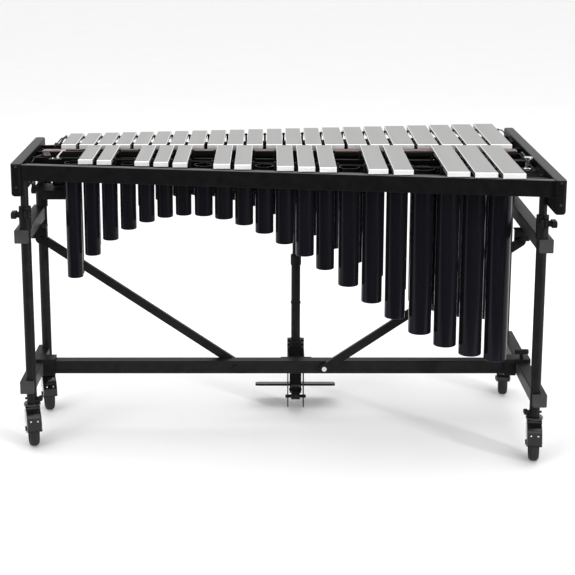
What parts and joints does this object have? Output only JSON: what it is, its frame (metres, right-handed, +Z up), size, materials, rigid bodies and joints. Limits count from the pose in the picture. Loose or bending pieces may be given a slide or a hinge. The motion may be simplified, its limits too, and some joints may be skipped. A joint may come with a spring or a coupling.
{
  "type": "vibraphone",
  "caption": "Rolling vibraphone: two rows of silver tone bars over an arch of black resonator tubes, tapered frame with height posts, cross braces, casters, damper felt and foot pedal.",
  "frame": {"origin": "centre of the footprint on the floor", "axes": "+X towards the low notes, +Y towards the player, +Z up"},
  "size_m": [1.466, 0.8356, 0.822],
  "materials": {
    "frame_black": "satin powder coat",
    "panel_black": "fine textured black coat",
    "plastic_black": "moulded",
    "bar_aluminium": "satin anodised, pale silver",
    "resonator_black": "satin black anodised",
    "cord": "braided",
    "felt": "pressed felt",
    "bright_steel": "zinc plated",
    "dark_screws": "blackened",
    "spool_aluminium": "turned",
    "motor_case": "satin",
    "caster_black": "gloss black",
    "tyre": "satin rubber",
    "pedal_black": "satin"
  },
  "bodies": {
    "stand": {"leg_tubes": "frame_black", "crossbars": "frame_black", "crossbar_caps": "plastic_black", "stretcher_beam": "frame_black", "beam_sockets": "frame_black", "braces": "frame_black", "brace_brackets": "frame_black", "frame_bolts": "bright_steel", "leg_collars": "plastic_black", "caster_stems": "dark_screws", "pedal_frame": "frame_black"},
    "upper_frame": {"height_posts": "frame_black", "end_panel_low": "panel_black", "end_panel_high": "panel_black", "front_rail": "panel_black", "rear_rail": "panel_black", "bar_rails": "panel_black", "natural_bars": "bar_aluminium", "accidental_bars": "bar_aluminium", "bar_supports": "plastic_black", "bar_cords": "cord", "front_resonators": "resonator_black", "rear_resonators": "resonator_black", "resonator_hangers": "panel_black", "motor": "motor_case", "drive_belts": "plastic_black", "control_box": "frame_black", "panel_screws": "dark_screws", "cord_spool": "spool_aluminium", "damper_springs": "bright_steel"},
    "damper": {"damper_bar": "panel_black", "damper_felt": "felt", "damper_rod": "pedal_black"},
    "pull_tube": {"pull_tube": "pedal_black"},
    "pedal": {"pedal": "pedal_black"},
    "front_fans": {"front_fans": "bright_steel"},
    "rear_fans": {"rear_fans": "bright_steel"},
    "motor_pulley": {"motor_pulley": "bright_steel"},
    "speed_knob": {"speed_knob": "plastic_black"},
    "beam_knob": {"beam_knob": "plastic_black"},
    "caster_fork_high_front": {"caster_fork_high_front": "caster_black"},
    "caster_wheel_high_front": {"caster_wheel_high_front": "tyre"},
    "caster_brake_high_front": {"caster_brake_high_front": "caster_black"},
    "leg_knob_high_front": {"leg_knob_high_front": "plastic_black"},
    "stem_knob_high_front": {"stem_knob_high_front": "plastic_black"},
    "caster_fork_high_rear": {"caster_fork_high_rear": "caster_black"},
    "caster_wheel_high_rear": {"caster_wheel_high_rear": "tyre"},
    "caster_brake_high_rear": {"caster_brake_high_rear": "caster_black"},
    "leg_knob_high_rear": {"leg_knob_high_rear": "plastic_black"},
    "stem_knob_high_rear": {"stem_knob_high_rear": "plastic_black"},
    "caster_fork_low_front": {"caster_fork_low_front": "caster_black"},
    "caster_wheel_low_front": {"caster_wheel_low_front": "tyre"},
    "caster_brake_low_front": {"caster_brake_low_front": "caster_black"},
    "leg_knob_low_front": {"leg_knob_low_front": "plastic_black"},
    "stem_knob_low_front": {"stem_knob_low_front": "plastic_black"},
    "caster_fork_low_rear": {"caster_fork_low_rear": "caster_black"},
    "caster_wheel_low_rear": {"caster_wheel_low_rear": "tyre"},
    "caster_brake_low_rear": {"caster_brake_low_rear": "caster_black"},
    "leg_knob_low_rear": {"leg_knob_low_rear": "plastic_black"},
    "stem_knob_low_rear": {"stem_knob_low_rear": "plastic_black"}
  },
  "joints": [
    {"name": "height_slide", "type": "slide", "parent": "stand", "child": "upper_frame", "axis": [0, 0, 1], "range_m": [0, 0.15]},
    {"name": "pedal_press", "type": "hinge", "parent": "stand", "child": "pedal", "pos_m": [0.049, 0.084, 0.045], "axis": [-1, 0, 0], "range_deg": [0, 10]},
    {"name": "damper_drop", "type": "slide", "parent": "upper_frame", "child": "damper", "axis": [0, 0, -1], "range_m": [0, 0.0065], "stiffness_N_per_m": 5000, "springref_m": -0.02, "deforming": ["damper_springs"]},
    {"name": "pull_tube_drop", "type": "slide", "parent": "stand", "child": "pull_tube", "axis": [0, 0, -1], "range_m": [0, 0.0065]},
    {"name": "front_fans_spin", "type": "hinge", "parent": "upper_frame", "child": "front_fans", "pos_m": [0, -0.12785, 0.7523], "axis": [0.9962, -0.0875, 0], "continuous": true},
    {"name": "rear_fans_spin", "type": "hinge", "parent": "upper_frame", "child": "rear_fans", "pos_m": [0, 0.18115, 0.7523], "axis": [0.9973, 0.0728, 0], "continuous": true},
    {"name": "motor_spin", "type": "hinge", "parent": "upper_frame", "child": "motor_pulley", "pos_m": [-0.66, 0.015, 0.724], "axis": [1, 0, 0], "continuous": true},
    {"name": "speed_knob_turn", "type": "hinge", "parent": "upper_frame", "child": "speed_knob", "pos_m": [-0.66, 0.0705, 0.69], "axis": [0, 1, 0], "range_deg": [0, 300]},
    {"name": "beam_knob_turn", "type": "hinge", "parent": "stand", "child": "beam_knob", "pos_m": [0.7095, 0, 0.2], "axis": [0, 0, 1], "range_deg": [0, 540]},
    {"name": "caster_swivel_high_front", "type": "hinge", "parent": "stand", "child": "caster_fork_high_front", "pos_m": [-0.7, -0.17, 0.11], "axis": [0, 0, 1], "continuous": true},
    {"name": "wheel_roll_high_front", "type": "hinge", "parent": "caster_fork_high_front", "child": "caster_wheel_high_front", "pos_m": [-0.69564, -0.18746, 0.05], "axis": [0.9703, 0.2419, 0], "continuous": true},
    {"name": "brake_press_high_front", "type": "hinge", "parent": "caster_fork_high_front", "child": "caster_brake_high_front", "pos_m": [-0.70677, -0.14283, 0.084], "axis": [-0.9703, -0.2419, 0], "range_deg": [0, 12]},
    {"name": "leg_knob_turn_high_front", "type": "hinge", "parent": "stand", "child": "leg_knob_high_front", "pos_m": [-0.7, -0.1933, 0.669], "axis": [-1, 0, 0], "range_deg": [0, 540]},
    {"name": "stem_knob_turn_high_front", "type": "hinge", "parent": "stand", "child": "stem_knob_high_front", "pos_m": [-0.7, -0.17, 0.132], "axis": [1, 0, 0], "range_deg": [0, 540]},
    {"name": "caster_swivel_high_rear", "type": "hinge", "parent": "stand", "child": "caster_fork_high_rear", "pos_m": [-0.7, 0.116, 0.11], "axis": [0, 0, 1], "continuous": true},
    {"name": "wheel_roll_high_rear", "type": "hinge", "parent": "caster_fork_high_rear", "child": "caster_wheel_high_rear", "pos_m": [-0.69564, 0.09853, 0.05], "axis": [0.9703, 0.2419, 0], "continuous": true},
    {"name": "brake_press_high_rear", "type": "hinge", "parent": "caster_fork_high_rear", "child": "caster_brake_high_rear", "pos_m": [-0.70677, 0.14317, 0.084], "axis": [-0.9703, -0.2419, 0], "range_deg": [0, 12]},
    {"name": "leg_knob_turn_high_rear", "type": "hinge", "parent": "stand", "child": "leg_knob_high_rear", "pos_m": [-0.7, 0.1393, 0.669], "axis": [-1, 0, 0], "range_deg": [0, 540]},
    {"name": "stem_knob_turn_high_rear", "type": "hinge", "parent": "stand", "child": "stem_knob_high_rear", "pos_m": [-0.7, 0.116, 0.132], "axis": [1, 0, 0], "range_deg": [0, 540]},
    {"name": "caster_swivel_low_front", "type": "hinge", "parent": "stand", "child": "caster_fork_low_front", "pos_m": [0.7, -0.277, 0.11], "axis": [0, 0, 1], "continuous": true},
    {"name": "wheel_roll_low_front", "type": "hinge", "parent": "caster_fork_low_front", "child": "caster_wheel_low_front", "pos_m": [0.69749, -0.29483, 0.05], "axis": [0.9903, -0.1392, 0], "continuous": true},
    {"name": "brake_press_low_front", "type": "hinge", "parent": "caster_fork_low_front", "child": "caster_brake_low_front", "pos_m": [0.7039, -0.24927, 0.084], "axis": [-0.9903, 0.1392, 0], "range_deg": [0, 12]},
    {"name": "leg_knob_turn_low_front", "type": "hinge", "parent": "stand", "child": "leg_knob_low_front", "pos_m": [0.7, -0.3003, 0.669], "axis": [1, 0, 0], "range_deg": [0, 540]},
    {"name": "stem_knob_turn_low_front", "type": "hinge", "parent": "stand", "child": "stem_knob_low_front", "pos_m": [0.7, -0.277, 0.132], "axis": [-1, 0, 0], "range_deg": [0, 540]},
    {"name": "caster_swivel_low_rear", "type": "hinge", "parent": "stand", "child": "caster_fork_low_rear", "pos_m": [0.7, 0.252, 0.11], "axis": [0, 0, 1], "continuous": true},
    {"name": "wheel_roll_low_rear", "type": "hinge", "parent": "caster_fork_low_rear", "child": "caster_wheel_low_rear", "pos_m": [0.69749, 0.23417, 0.05], "axis": [0.9903, -0.1392, 0], "continuous": true},
    {"name": "brake_press_low_rear", "type": "hinge", "parent": "caster_fork_low_rear", "child": "caster_brake_low_rear", "pos_m": [0.7039, 0.27973, 0.084], "axis": [-0.9903, 0.1392, 0], "range_deg": [0, 12]},
    {"name": "leg_knob_turn_low_rear", "type": "hinge", "parent": "stand", "child": "leg_knob_low_rear", "pos_m": [0.7, 0.2753, 0.669], "axis": [1, 0, 0], "range_deg": [0, 540]},
    {"name": "stem_knob_turn_low_rear", "type": "hinge", "parent": "stand", "child": "stem_knob_low_rear", "pos_m": [0.7, 0.252, 0.132], "axis": [-1, 0, 0], "range_deg": [0, 540]}
  ],
  "couplings": [
    {"joint": "damper_drop", "follows": "pedal_press", "m_per_rad": 0.0366},
    {"joint": "pull_tube_drop", "follows": "pedal_press", "m_per_rad": 0.0366},
    {"joint": "rear_fans_spin", "follows": "front_fans_spin", "ratio": 1},
    {"joint": "motor_spin", "follows": "front_fans_spin", "ratio": 1.6667}
  ]
}
